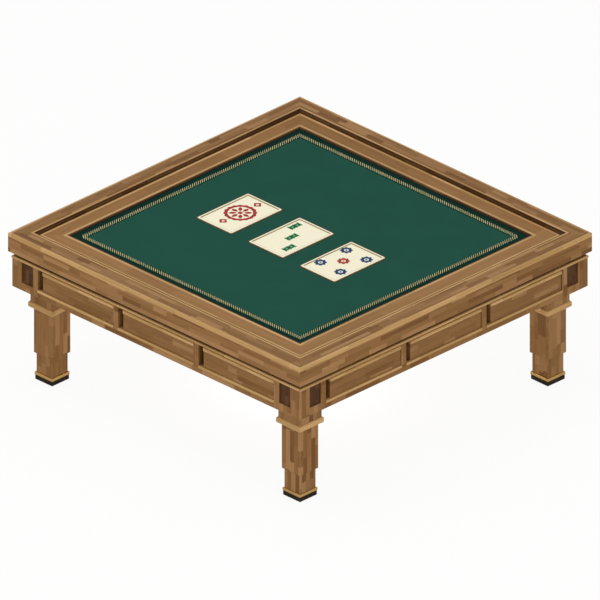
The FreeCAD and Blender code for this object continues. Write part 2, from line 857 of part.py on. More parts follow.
build_rim()
build_shadow_line()
build_apron()
build_carcass()
for quarter, side in enumerate(SIDES):
    for place_number in range(len(PLACES)):
        build_tray(quarter, side, place_number)
build_board()
build_legs()
build_leg_fixings()
write_parts()
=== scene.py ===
"""Looks of a low square games table: stave wood, felt field, sewn border, tile plaques and studio."""

import logging
import math
from dataclasses import dataclass
from enum import Enum, IntEnum

import bmesh
import bpy
from bmesh.types import BMesh, BMVert
from bpy.types import ColorRamp, Material, Mesh, Node, NodeSocket, NodeTree, Object
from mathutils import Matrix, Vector, geometry, noise


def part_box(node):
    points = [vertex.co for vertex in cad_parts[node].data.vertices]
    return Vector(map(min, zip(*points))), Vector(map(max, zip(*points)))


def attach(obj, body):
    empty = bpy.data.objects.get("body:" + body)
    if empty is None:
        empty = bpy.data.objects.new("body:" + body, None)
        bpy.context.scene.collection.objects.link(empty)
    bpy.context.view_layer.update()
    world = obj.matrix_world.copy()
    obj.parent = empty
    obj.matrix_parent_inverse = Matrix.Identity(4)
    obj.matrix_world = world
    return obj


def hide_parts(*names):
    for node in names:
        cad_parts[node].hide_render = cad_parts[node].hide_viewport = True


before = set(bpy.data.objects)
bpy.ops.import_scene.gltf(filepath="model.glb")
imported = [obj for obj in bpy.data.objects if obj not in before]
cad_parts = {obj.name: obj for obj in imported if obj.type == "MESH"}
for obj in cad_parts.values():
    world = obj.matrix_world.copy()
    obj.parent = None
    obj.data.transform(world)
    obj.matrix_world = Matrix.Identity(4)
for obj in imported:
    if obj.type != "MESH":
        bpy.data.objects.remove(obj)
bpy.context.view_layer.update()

LOG = logging.getLogger("games_table")
MM = 0.001
SIDES = ("south", "east", "north", "west")
CORNERS = ("south_west", "south_east", "north_east", "north_west")
PLACES = ("left", "middle", "right")
ROUND_STEPS = 4
WHITE = "ffffff"

Colour = tuple[float, float, float, float]
Point = tuple[float, float]
Outline = list[Point]
Stops = tuple[tuple[float, str], ...]


def srgb(code: str) -> Colour:
    """Turn a written colour into a linear one.

    Args:
        code: the colour as six hex digits.

    Returns:
        Red, green, blue and alpha.
    """
    parts = [int(code[start:start + 2], 16) / 255 for start in (0, 2, 4)]
    red, green, blue = (c / 12.92 if c < 0.04045 else ((c + 0.055) / 1.055) ** 2.4 for c in parts)
    return red, green, blue, 1.0


class Tree:
    """A node tree with one method that adds any node."""

    def __init__(self, tree: NodeTree) -> None:
        """Hold the tree that the nodes go into."""
        self.tree = tree

    def node(self, kind: str, settings: dict | None = None, inputs: dict | None = None) -> Node:
        """Add a node.

        Args:
            kind: the node's type.
            settings: its properties, set first; "stops" are a colour ramp's places and colours.
            inputs: values or links of its sockets, by name or number.

        Returns:
            The new node.
        """
        made = self.tree.nodes.new(kind)
        for key, value in (settings or {}).items():
            if key == "stops":
                self._set_stops(made.color_ramp, value)
            else:
                setattr(made, key, value)
        for key, value in (inputs or {}).items():
            source = value.socket if isinstance(value, Value) else value
            if isinstance(source, NodeSocket):
                self.tree.links.new(source, made.inputs[key])
            else:
                made.inputs[key].default_value = source
        return made

    def vector(self, *axes: "Value | NodeSocket | float") -> NodeSocket:
        """Join up to three numbers into a vector."""
        return self.node("ShaderNodeCombineXYZ", {}, dict(enumerate(axes))).outputs[0]

    @staticmethod
    def _set_stops(ramp: ColorRamp, stops: Stops) -> None:
        """Give a colour ramp its stops, each one colour up to the next.

        Args:
            ramp: the ramp.
            stops: the places and colours.
        """
        ramp.interpolation = "CONSTANT"
        while len(ramp.elements) < len(stops):
            ramp.elements.new(1.0)
        for element, (place, code) in zip(ramp.elements, stops):
            element.position = place
            element.color = srgb(code)


class Value:
    """A number in a node tree, whose operators add Math nodes."""

    def __init__(self, owner: Tree, socket: NodeSocket) -> None:
        """Hold the tree and the socket that gives the number."""
        self.owner = owner
        self.socket = socket

    def _math(self, operation: str, first: "Value | float", second: "Value | float" = 0.0) -> "Value":
        """Add one Math node.

        Args:
            operation: the node's operation.
            first: its upper input.
            second: its lower input, where it has one.

        Returns:
            The node's result.
        """
        made = self.owner.node("ShaderNodeMath", {"operation": operation}, {0: first, 1: second})
        return Value(self.owner, made.outputs[0])

    def __add__(self, other: "Value | float") -> "Value":
        """Add a number."""
        return self._math("ADD", self, other)

    def __sub__(self, other: "Value | float") -> "Value":
        """Take a number away."""
        return self._math("SUBTRACT", self, other)

    def __rsub__(self, other: float) -> "Value":
        """Take this value away from a number."""
        return self._math("SUBTRACT", other, self)

    def __mul__(self, other: "Value | float") -> "Value":
        """Multiply by a number."""
        return self._math("MULTIPLY", self, other)

    def __truediv__(self, other: "Value | float") -> "Value":
        """Divide by a number."""
        return self._math("DIVIDE", self, other)

    def __rtruediv__(self, other: float) -> "Value":
        """Divide a number by this value."""
        return self._math("DIVIDE", other, self)

    def __gt__(self, other: "Value | float") -> "Value":
        """Give 1 where this value is the greater one."""
        return self._math("GREATER_THAN", self, other)

    def __lt__(self, other: "Value | float") -> "Value":
        """Give 1 where this value is the smaller one."""
        return self._math("LESS_THAN", self, other)

    def __abs__(self) -> "Value":
        """Give the size without the sign."""
        return self._math("ABSOLUTE", self)

    __radd__ = __add__
    __rmul__ = __mul__

    def floor(self) -> "Value":
        """Give the whole number below."""
        return self._math("FLOOR", self)

    def fraction(self) -> "Value":
        """Give what is left above the whole number below."""
        return self._math("FRACT", self)

    def sine(self) -> "Value":
        """Give the sine."""
        return self._math("SINE", self)

    def lower(self, other: "Value | float") -> "Value":
        """Give the smaller of two numbers."""
        return self._math("MINIMUM", self, other)

    def upper(self, other: "Value | float") -> "Value":
        """Give the larger of two numbers."""
        return self._math("MAXIMUM", self, other)

    def choose(self, on: "Value | float", off: "Value | float") -> "Value":
        """Give one value where this is 1 and the other where it is 0."""
        return self * on + (1 - self) * off

    def rise(self, low: float, high: float) -> "Value":
        """Rise smoothly from 0 to 1.

        Args:
            low: where the rise starts.
            high: where it ends.

        Returns:
            The risen number.
        """
        made = self.owner.node(
            "ShaderNodeMapRange",
            {"interpolation_type": "SMOOTHSTEP"},
            {"Value": self, "From Min": low, "From Max": high},
        )
        return Value(self.owner, made.outputs[0])


class Shader(Tree):
    """The node tree of one new material."""

    def __init__(self, name: str) -> None:
        """Start an empty material.

        Args:
            name: the material's name.
        """
        self.material = bpy.data.materials.new(name)
        self.material.use_nodes = True
        self.material.node_tree.nodes.clear()
        super().__init__(self.material.node_tree)

    def place(self) -> tuple[Value, Value, Value]:
        """Give the point's place on the table.

        Returns:
            Its object coordinates.
        """
        coordinates = self.node("ShaderNodeTexCoord").outputs["Object"]
        axes = self.node("ShaderNodeSeparateXYZ", {}, {0: coordinates}).outputs
        return Value(self, axes[0]), Value(self, axes[1]), Value(self, axes[2])

    @staticmethod
    def sides(x: Value, y: Value) -> tuple[Value, Value, Value]:
        """Tell if the nearest side is front or back, and the place along it and out to it."""
        facing = abs(y) > abs(x)
        return facing, facing.choose(x, y), facing.choose(y, x)

    def chance(self, *axes: Value | float) -> Value:
        """Give a number from 0 to 1 that is the same wherever the three axes are."""
        made = self.node("ShaderNodeTexWhiteNoise", {}, {"Vector": self.vector(*axes)})
        return Value(self, made.outputs["Value"])

    def cloud(self, vector: NodeSocket, scale: float, detail: float = 3.0) -> Value:
        """Give smooth noise about 0.5.

        Args:
            vector: where it is read.
            scale: how fine it is.
            detail: how many finer layers it has.

        Returns:
            The noise.
        """
        inputs = {"Vector": vector, "Scale": scale, "Detail": detail}
        return Value(self, self.node("ShaderNodeTexNoise", {}, inputs).outputs[0])

    def steps(self, value: Value, stops: Stops) -> NodeSocket:
        """Turn a number into one of a few colours."""
        return self.node("ShaderNodeValToRGB", {"stops": stops}, {0: value}).outputs[0]

    def mix(
        self,
        factor: Value | float,
        first: NodeSocket | Colour,
        second: NodeSocket | Colour,
        blend: str = "MIX",
    ) -> NodeSocket:
        """Mix two colours.

        Args:
            factor: the share of the second one.
            first: the colour below.
            second: the colour above.
            blend: how they mix.

        Returns:
            The mixed colour.
        """
        settings = {"data_type": "RGBA", "blend_type": blend}
        return self.node("ShaderNodeMix", settings, {0: factor, 6: first, 7: second}).outputs[2]

    def relief(self, height: Value, depth: float, strength: float) -> NodeSocket:
        """Turn a height into a bumped normal.

        Args:
            height: the height, in depths.
            depth: one depth in metres.
            strength: the bump's share.

        Returns:
            The normal.
        """
        inputs = {"Strength": strength, "Distance": depth, "Height": height}
        return self.node("ShaderNodeBump", {}, inputs).outputs[0]

    def surface(self, inputs: dict) -> Material:
        """Finish the material with one Principled shader.

        Args:
            inputs: the shader's sockets by name.

        Returns:
            The material.
        """
        shaded = self.node("ShaderNodeBsdfPrincipled", {}, inputs)
        self.node("ShaderNodeOutputMaterial", {}, {"Surface": shaded.outputs[0]})
        return self.material


class Grain(Enum):
    """Which way the wood runs."""

    FRAME = "round the four sides, mitred on the diagonals"
    UPRIGHT = "from the floor up"


@dataclass(frozen=True)
class PaintedLightStrip:
    """A band of a piece painted in other staves: painted shade in the rim's gap, painted highlight on the
    trays' tops.

    Attributes:
        tones: the staves painted in the band.
        inner: where it starts, outwards from the table's middle.
        outer: where it ends.
        base: the height where it starts.
    """

    tones: Stops
    inner: float
    outer: float
    base: float


@dataclass(frozen=True)
class Arris:
    """The worn upright edges of a square piece, plain or stepped.

    Attributes:
        centre: how far its middle is from the table's middle lines.
        halves: its half sides from the floor up.
        steps: the heights where they change.
    """

    centre: float
    halves: tuple[float, ...]
    steps: tuple[float, ...] = ()


@dataclass(frozen=True)
class WoodFinish:
    """Wood glued up from short staves of different tones.

    Attributes:
        name: the material's name.
        tones: the staves' colours, each with where its share starts.
        grain: which way the wood runs.
        stave_width: a stave's width in metres.
        stave_length: the mean length of two staves in metres.
        streak: how much the grain darkens the wood.
        gloss: the mean roughness.
        seed: picks the staves.
        painted_light_strip: a band in other staves that paints the piece's shade and highlight, where it
            has one.
        arris: the edges that are worn pale, where it has them.
    """

    name: str
    tones: Stops
    grain: Grain
    stave_width: float
    stave_length: float
    streak: float = 0.2
    gloss: float = 0.55
    seed: float = 1.0
    painted_light_strip: PaintedLightStrip | None = None
    arris: Arris | None = None

    WORN_TONE = "ad8862"
    STREAK_TONE = "7a4f2a"
    PORE_TONE = "3a2413"
    WORN_FROM, WORN_TO = -3.2 * MM, -0.4 * MM
    STREAKS_ALONG, STREAKS_ACROSS = 9.0, 170.0
    PORES_ALONG, PORES_ACROSS = 60.0, 1300.0
    SIDE_SHIFT, RUN_SHIFT, GRAIN_SHIFT = 7.31, 13.0, 3.7
    ROW_START, LAYER_START = 0.37, 0.29
    CUT_SEED, TONE_SEED = 31.0, 17.0
    CUT_LEAST, CUT_RANGE = 0.2, 0.6

    def _axes(self, shader: Shader) -> tuple[Value, Value, Value]:
        """Lay the axes by the grain.

        Args:
            shader: where the nodes go.

        Returns:
            The place along the grain and on the two axes across it.
        """
        x, y, z = shader.place()
        if self.grain is Grain.UPRIGHT:
            return z, x, y
        facing, along, outward = shader.sides(x, y)
        side = facing * 2 + (outward > 0)
        return along + side * self.SIDE_SHIFT, abs(outward), z

    def _staves(self, shader: Shader, axes: tuple[Value, Value, Value]) -> Value:
        """Give each stave a number from 0 to 1.

        Args:
            shader: where the nodes go.
            axes: the place along and across the grain.

        Returns:
            The stave's number.
        """
        along, across, up = axes
        row = (across / self.stave_width + self.ROW_START).floor()
        layer = (up / self.stave_width + self.LAYER_START).floor()
        run = along / self.stave_length + shader.chance(row, layer, self.seed) * self.RUN_SHIFT
        pair = run.floor()
        cut = shader.chance(pair, row, layer + self.CUT_SEED) * self.CUT_RANGE + self.CUT_LEAST
        stave = pair * 2 + (run.fraction() > cut)
        return shader.chance(stave + self.seed * self.TONE_SEED, row, layer)

    def _wear(self, shader: Shader, axes: tuple[Value, Value, Value]) -> Value:
        """Give how far the upright edges are rubbed.

        Args:
            shader: where the nodes go.
            axes: the height and the place along X and Y.

        Returns:
            The wear, from 0 to 1.
        """
        height, x, y = axes
        half = self.arris.halves[0]
        for step, above in zip(self.arris.steps, self.arris.halves[1:]):
            half = (height > step).choose(above, half)
        reach = abs(abs(x) - self.arris.centre).lower(abs(abs(y) - self.arris.centre))
        rubbed = shader.cloud(shader.vector(x, y, height), 60.0)
        return (reach - half).rise(self.WORN_FROM, self.WORN_TO) * rubbed.rise(0.3, 0.7)

    def material(self) -> Material:
        """Build the wood.

        Returns:
            The material.
        """
        shader = Shader(self.name)
        axes = self._axes(shader)
        along, across, up = axes
        stave = self._staves(shader, axes)
        shifted = along + stave * self.GRAIN_SHIFT
        fine = self.STREAKS_ACROSS
        drawn = shader.vector(shifted * self.STREAKS_ALONG, across * fine, up * fine)
        streaks = shader.cloud(drawn, 1.0, 4.0)
        finer = self.PORES_ACROSS
        pricked = shader.vector(shifted * self.PORES_ALONG, across * finer, up * finer)
        pores = shader.cloud(pricked, 1.0, 2.0)
        colour = shader.steps(stave, self.tones)
        # Painted light: inside the band its staves paint shade and highlight over the wood.
        if self.painted_light_strip:
            inside = (across > self.painted_light_strip.inner) * (across < self.painted_light_strip.outer) * (up > self.painted_light_strip.base)
            colour = shader.mix(inside, colour, shader.steps(stave, self.painted_light_strip.tones))
        if self.arris:
            colour = shader.mix(self._wear(shader, axes) * 0.4, colour, srgb(self.WORN_TONE))
        share = streaks.rise(0.38, 0.78) * self.streak
        streaked = shader.mix(share, colour, srgb(self.STREAK_TONE), "MULTIPLY")
        pored = shader.mix(pores.rise(0.56, 0.74) * 0.12, streaked, srgb(self.PORE_TONE))
        height = streaks * 0.6 + pores.rise(0.5, 0.75) * -0.5 + stave * 0.5
        return shader.surface({
            "Base Color": pored,
            "Roughness": streaks * 0.22 + (self.gloss - 0.11),
            "Specular IOR Level": 0.12,
            "Normal": shader.relief(height, 0.25 * MM, 0.35),
        })


BROWN_STAVES: Stops = (
    (0.0, "764f27"), (0.13, "825b31"), (0.36, "8a6338"), (0.66, "946c42"), (0.86, "a0784d"),
)
EVEN_STAVES: Stops = (
    (0.0, "79532a"), (0.08, "835d34"), (0.45, "886137"), (0.84, "906940"), (0.95, "997248"),
)
BAND_STAVES: Stops = ((0.0, "8a6236"), (0.25, "92693c"), (0.6, "997042"), (0.85, "a2794b"))
PALE_STAVES: Stops = ((0.0, "b18a56"), (0.2, "bb945f"), (0.6, "c39b66"), (0.9, "caa26e"))
# Painted shade: dark staves for the rim's inner face in the gap round the board.
DARK_STAVES: Stops = ((0.0, "48290e"), (0.3, "503115"), (0.7, "5a3d22"))
RIM_GAP_SHADE_STAVES: Stops = ((0.0, "5f3e20"), (0.4, "684626"), (0.8, "72502e"))
PLAIN_STAVES: Stops = ((0.0, "9a7a52"), (0.4, "a38259"), (0.8, "ab8a61"))


@dataclass(frozen=True)
class Finish:
    """A finish with a main colour and a second one that comes through in places.

    Attributes:
        name: the material's name.
        colour: the main colour.
        second: the other colour.
    """

    name: str
    colour: str
    second: str

    def begin(self) -> tuple[Shader, Value, Value, Value]:
        """Start the material and give the point's place."""
        shader = Shader(self.name)
        return shader, *shader.place()

    def blend(self, shader: Shader, share: Value) -> NodeSocket:
        """Mix a share of the second colour into the main one."""
        return shader.mix(share, srgb(self.colour), srgb(self.second))


@dataclass(frozen=True)
class MetalFinish(Finish):
    """Brushed or turned metal, with the second colour in its dull patches.

    Attributes:
        gloss: the mean roughness.
    """

    gloss: float

    def material(self) -> Material:
        """Build the metal.

        Returns:
            The material.
        """
        shader, x, y, z = self.begin()
        brushed = shader.cloud(shader.vector(x * 40.0, y * 40.0, z * 1500.0), 1.0, 2.0)
        patches = shader.cloud(shader.vector(x, y, z), 70.0)
        return shader.surface({
            "Base Color": self.blend(shader, patches.rise(0.45, 0.7) * 0.5),
            "Metallic": 1.0,
            "Roughness": brushed * 0.2 + patches * 0.15 + (self.gloss - 0.17),
            "Normal": shader.relief(brushed, 0.1 * MM, 0.25),
        })


@dataclass(frozen=True)
class RubberFinish(Finish):
    """Dull moulded rubber, with the second colour where it is rubbed."""

    def material(self) -> Material:
        """Build the rubber.

        Returns:
            The material.
        """
        shader, x, y, z = self.begin()
        specks = shader.cloud(shader.vector(x, y, z), 900.0, 2.0)
        scuffs = shader.cloud(shader.vector(x, y, z * 2.0), 45.0)
        return shader.surface({
            "Base Color": self.blend(shader, scuffs.rise(0.5, 0.75)),
            "Roughness": specks * 0.2 + 0.65,
            "Specular IOR Level": 0.06,
            "Normal": shader.relief(specks, 0.2 * MM, 0.4),
        })


@dataclass(frozen=True)
class FeltFinish(Finish):
    """Pressed wool felt, with the second colour in its lighter fibres.

    Attributes:
        dark: the colour between the fibres.
    """

    dark: str

    def material(self) -> Material:
        """Build the felt.

        Returns:
            The material.
        """
        shader, x, y, z = self.begin()
        place = shader.vector(x, y, z)
        fibres = shader.cloud(place, 1500.0, 2.0)
        clumps = shader.cloud(place, 320.0, 3.0)
        nap = shader.cloud(place, 14.0, 2.0)
        lit = self.blend(shader, fibres.rise(0.5, 0.8) * 0.55)
        worked = shader.mix(clumps.rise(0.5, 0.75) * 0.35, lit, srgb(self.dark))
        return shader.surface({
            "Base Color": shader.mix(nap.rise(0.4, 0.75) * 0.18, worked, srgb(self.second)),
            "Roughness": fibres * 0.1 + 0.88,
            "Specular IOR Level": 0.02,
            "Normal": shader.relief(fibres * 0.6 + clumps * 0.7, 0.5 * MM, 0.5),
        })


@dataclass(frozen=True)
class TapeFinish(Finish):
    """Ribbed binding tape that runs round the felt, with the second colour on its ribs; its dark green is
    painted shade along the felt's edge.

    Attributes:
        pitch: the distance between ribs in metres.
    """

    pitch: float = 1.6 * MM

    def material(self) -> Material:
        """Build the tape.

        Returns:
            The material.
        """
        shader, x, y, z = self.begin()
        _, along, outward = shader.sides(x, y)
        ribs = (along * (math.tau / self.pitch)).sine() * 0.5 + 0.5
        threads = shader.cloud(shader.vector(x, y, z), 1800.0, 2.0)
        weft = (outward * (math.tau / self.pitch * 2.0)).sine() * 0.5 + 0.5
        return shader.surface({
            "Base Color": self.blend(shader, ribs * 0.7 + threads * 0.3),
            "Roughness": threads * 0.15 + 0.78,
            "Specular IOR Level": 0.02,
            "Normal": shader.relief(ribs + weft * 0.4, 0.3 * MM, 0.4),
        })


@dataclass(frozen=True)
class ThreadFinish(Finish):
    """Twisted embroidery thread, with the second colour in its darker lengths."""

    def material(self) -> Material:
        """Build the thread.

        Returns:
            The material.
        """
        shader, x, y, z = self.begin()
        twist = ((x * 1.0 + y * 0.7 + z * 2.0) * 6500.0).sine() * 0.5 + 0.5
        lengths = shader.cloud(shader.vector(x, y, z), 110.0, 2.0)
        return shader.surface({
            "Base Color": self.blend(shader, lengths.rise(0.35, 0.65)),
            "Roughness": twist * 0.2 + 0.4,
            "Specular IOR Level": 0.2,
            "Normal": shader.relief(twist, 0.2 * MM, 0.4),
        })


@dataclass(frozen=True)
class ResinFinish(Finish):
    """Cast tile resin or the ink let into it, with the second colour in faint veins.

    Attributes:
        gloss: the mean roughness.
        veining: how strong the veins are.
        shine: the reflection's strength.
    """

    gloss: float = 0.35
    veining: float = 0.4
    shine: float = 0.25

    def material(self) -> Material:
        """Build the resin.

        Returns:
            The material.
        """
        shader, x, y, z = self.begin()
        veins = shader.cloud(shader.vector(x * 0.5, y, z), 160.0, 4.0)
        rubbed = shader.cloud(shader.vector(x, y, z), 600.0, 2.0)
        return shader.surface({
            "Base Color": self.blend(shader, veins.rise(0.45, 0.75) * self.veining),
            "Roughness": rubbed * 0.16 + (self.gloss - 0.08),
            "Specular IOR Level": self.shine,
            "Normal": shader.relief(rubbed, 0.1 * MM, 0.15),
        })


def dress(material: Material, *nodes: str) -> None:
    """Give CAD nodes a finish.

    Args:
        material: the finish.
        nodes: the nodes' names.
    """
    for name in nodes:
        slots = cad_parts[name].data.materials
        slots.clear()
        slots.append(material)
        LOG.info("%s: %s", name, material.name)


def keep_piece(name: str, shape: BMesh, materials: list[Material]) -> Object:
    """Turn a shape into a piece that rides on the playing board.

    Args:
        name: the piece's name.
        shape: its shape, freed afterwards.
        materials: its finishes, in the order of its faces' numbers.

    Returns:
        The piece.
    """
    mesh = bpy.data.meshes.new(name)
    shape.to_mesh(mesh)
    shape.free()
    for material in materials:
        mesh.materials.append(material)
    mesh.shade_flat()
    return link_piece(name, mesh)


def link_piece(name: str, mesh: Mesh) -> Object:
    """Put a finished mesh on the playing board.

    Args:
        name: the piece's name.
        mesh: its mesh.

    Returns:
        The piece.
    """
    piece = bpy.data.objects.new(name, mesh)
    bpy.context.scene.collection.objects.link(piece)
    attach(piece, "playing_board")
    LOG.info("%s: %d faces", name, len(mesh.polygons))
    return piece


def rounded_rectangle(width: float, length: float, radius: float, steps: int = 8) -> Outline:
    """Trace a rectangle with round corners.

    Args:
        width: its size along X.
        length: its size along Y.
        radius: its corners' radius.
        steps: the chords of one corner.

    Returns:
        The points, anticlockwise about the centre.
    """
    points = []
    for turn, (right, back) in enumerate(((1, 1), (-1, 1), (-1, -1), (1, -1))):
        for step in range(steps + 1):
            angle = math.pi / 2 * (turn + step / steps)
            points.append((
                right * (width / 2 - radius) + radius * math.cos(angle),
                back * (length / 2 - radius) + radius * math.sin(angle),
            ))
    return points


def lobed_ring(
    radius: float, lobes: int = 0, depth: float = 0.0, stretch: float = 1.0, steps: int = 48
) -> Outline:
    """Trace a circle or ellipse, with lobes where it has them.

    Args:
        radius: its mean radius.
        lobes: how many lobes it has.
        depth: how far the lobes go in and out.
        stretch: its length along Y over its width.
        steps: its chords.

    Returns:
        The points, anticlockwise about the centre.
    """
    points = []
    for step in range(steps):
        angle = math.tau * step / steps
        reach = radius + depth * math.cos(lobes * angle)
        points.append((reach * math.cos(angle), reach * stretch * math.sin(angle)))
    return points


def petal(start: float, end: float, half_width: float, angle: float, steps: int = 10) -> Outline:
    """Trace a pointed leaf that points away from the centre.

    Args:
        start: its inner tip's distance from the centre.
        end: its outer tip's distance.
        half_width: half its width.
        angle: where it points.
        steps: the chords of each side.

    Returns:
        The points, anticlockwise.
    """
    shares = [step / steps for step in range(steps)]
    right = [(start + (end - start) * s, -half_width * math.sin(math.pi * s)) for s in shares]
    left = [(end - (end - start) * s, half_width * math.sin(math.pi * s)) for s in shares]
    turn, lean = math.cos(angle), math.sin(angle)
    return [(turn * x - lean * y, lean * x + turn * y) for x, y in right + left]


def moved(outline: Outline, place: Point) -> Outline:
    """Move an outline from the centre to a place."""
    return [(x + place[0], y + place[1]) for x, y in outline]


def walls(
    shape: BMesh, loops: list[tuple[Outline, float]], finishes: list[int], closed: bool = False
) -> list[list[BMVert]]:
    """Join outlines of the same count with walls.

    Args:
        shape: where the faces go.
        loops: the outlines with their heights.
        finishes: the finish of each wall.
        closed: whether the last outline joins the first.

    Returns:
        Each outline's points in the shape.
    """
    rows = [[shape.verts.new((x, y, height)) for x, y in outline] for outline, height in loops]
    above = rows[1:] + rows[:1] if closed else rows[1:]
    for lower, upper, finish in zip(rows, above, finishes):
        for i, corner in enumerate(lower):
            following = (i + 1) % len(lower)
            shape.faces.new((corner, lower[following], upper[following], upper[i])).material_index = finish
    return rows


def loft(shape: BMesh, loops: list[tuple[Outline, float]], finishes: list[int]) -> None:
    """Join outlines of the same count into a closed body.

    Args:
        shape: where the faces go.
        loops: the outlines with their heights, from the bottom up and inwards.
        finishes: the finish of each wall between them, and of the closing face.
    """
    rows = walls(shape, loops, finishes)
    shape.faces.new(reversed(rows[0])).material_index = finishes[0]
    shape.faces.new(rows[-1]).material_index = finishes[-1]


def mitred_frame(profile: Outline) -> BMesh:
    """Sweep a closed profile round a square, with mitred corners.

    Args:
        profile: its points as the square's half width and the height.

    Returns:
        The shape.
    """
    shape = bmesh.new()
    loops = []
    for half, height in profile:
        square = [(half, -half), (half, half), (-half, half), (-half, -half)]
        loops.append((square, height))
    walls(shape, loops, [0] * len(loops), closed=True)
    bmesh.ops.recalc_face_normals(shape, faces=shape.faces)
    return shape


class SewingTree(Tree):
    """A Geometry Nodes tree that sews a row of slanted stitches along each side of a square."""

    SIZES = ("Side", "Pitch", "Length", "Width", "Thickness", "Slant", "Sway", "Height")
    COUNTS = ("Count", "Seed")
    BALL = {"Segments": 6, "Rings": 5, "Radius": 0.5}

    def __init__(self, thread: Material) -> None:
        """Build the tree with its named inputs.

        Args:
            thread: the stitches' finish.
        """
        super().__init__(bpy.data.node_groups.new("sewn_border", "GeometryNodeTree"))
        for names, kind in ((self.SIZES, "NodeSocketFloat"), (self.COUNTS, "NodeSocketInt")):
            for name in names:
                self.tree.interface.new_socket(name, in_out="INPUT", socket_type=kind)
        self.tree.interface.new_socket("Geometry", in_out="OUTPUT", socket_type="NodeSocketGeometry")
        given = self.node("NodeGroupInput").outputs
        sides = [self._side(given, turn) for turn in range(len(SIDES))]
        joined = self.node("GeometryNodeJoinGeometry")
        for side in sides:
            self.tree.links.new(side, joined.inputs[0])
        real = self.node("GeometryNodeRealizeInstances", {}, {0: joined.outputs[0]})
        smooth = self.node("GeometryNodeSetShadeSmooth", {}, {"Geometry": real.outputs[0]})
        done = self.node("GeometryNodeSetMaterial", {}, {"Geometry": smooth.outputs[0], "Material": thread})
        self.node("NodeGroupOutput", {}, {0: done.outputs[0]})

    def _side(self, given: bpy.types.bpy_prop_collection, turn: int) -> NodeSocket:
        """Sew one side, leaning the other way than the sides next to it.

        Args:
            given: the tree's inputs.
            turn: how many quarter turns the side is from the front.

        Returns:
            The side's stitches.
        """
        start = Value(self, given["Side"]) * -0.5
        places = self.node(
            "GeometryNodeMeshLine",
            {"mode": "OFFSET"},
            {
                "Count": given["Count"],
                "Start Location": self.vector(start, start, given["Height"]),
                "Offset": self.vector(given["Pitch"]),
            },
        )
        ball = self.node("GeometryNodeMeshUVSphere", {}, self.BALL)
        size = self.vector(given["Length"], given["Width"], given["Thickness"])
        stitch = self.node("GeometryNodeTransform", {}, {"Geometry": ball.outputs[0], "Scale": size})
        swayed = self.node(
            "FunctionNodeRandomValue",
            {"data_type": "FLOAT"},
            {2: 0.0, 3: given["Sway"], "Seed": given["Seed"]},
        )
        lean = Value(self, given["Slant"]) * (-1.0) ** turn + Value(self, swayed.outputs[1])
        tilt = self.vector(0.0, 0.0, lean)
        sewn = self.node(
            "GeometryNodeInstanceOnPoints",
            {},
            {"Points": places.outputs[0], "Instance": stitch.outputs[0], "Rotation": tilt},
        )
        angle = (0.0, 0.0, math.pi / 2 * turn)
        turned = self.node("GeometryNodeTransform", {}, {"Geometry": sewn.outputs[0], "Rotation": angle})
        return turned.outputs[0]

    def sew(self, sizes: dict[str, float]) -> Mesh:
        """Sew the border.

        Args:
            sizes: the tree's inputs by name.

        Returns:
            The border's plain mesh.
        """
        holder = bpy.data.objects.new("sewing", bpy.data.meshes.new("sewing"))
        bpy.context.scene.collection.objects.link(holder)
        row = holder.modifiers.new("sewing", "NODES")
        row.node_group = self.tree
        for item in self.tree.interface.items_tree:
            if item.in_out == "INPUT":
                row[item.identifier] = sizes[item.name]
        evaluated = holder.evaluated_get(bpy.context.evaluated_depsgraph_get())
        mesh = bpy.data.meshes.new_from_object(evaluated)
        bpy.data.objects.remove(holder)
        return mesh


class Figure(Enum):
    """The traditional figure on a tile."""

    ROSETTE = "a wheel of petals between two lozenges"
    CANES = "three bamboo canes on a diagonal"
    RINGS = "five scalloped rings, four round one"


class Ink(IntEnum):
    """A tile's finishes, by the number that its faces carry."""

    CREAM = 0
    BACK = 1
    SLOPE_SHADE = 2
    RED = 3
    GREEN = 4
    BLUE = 5


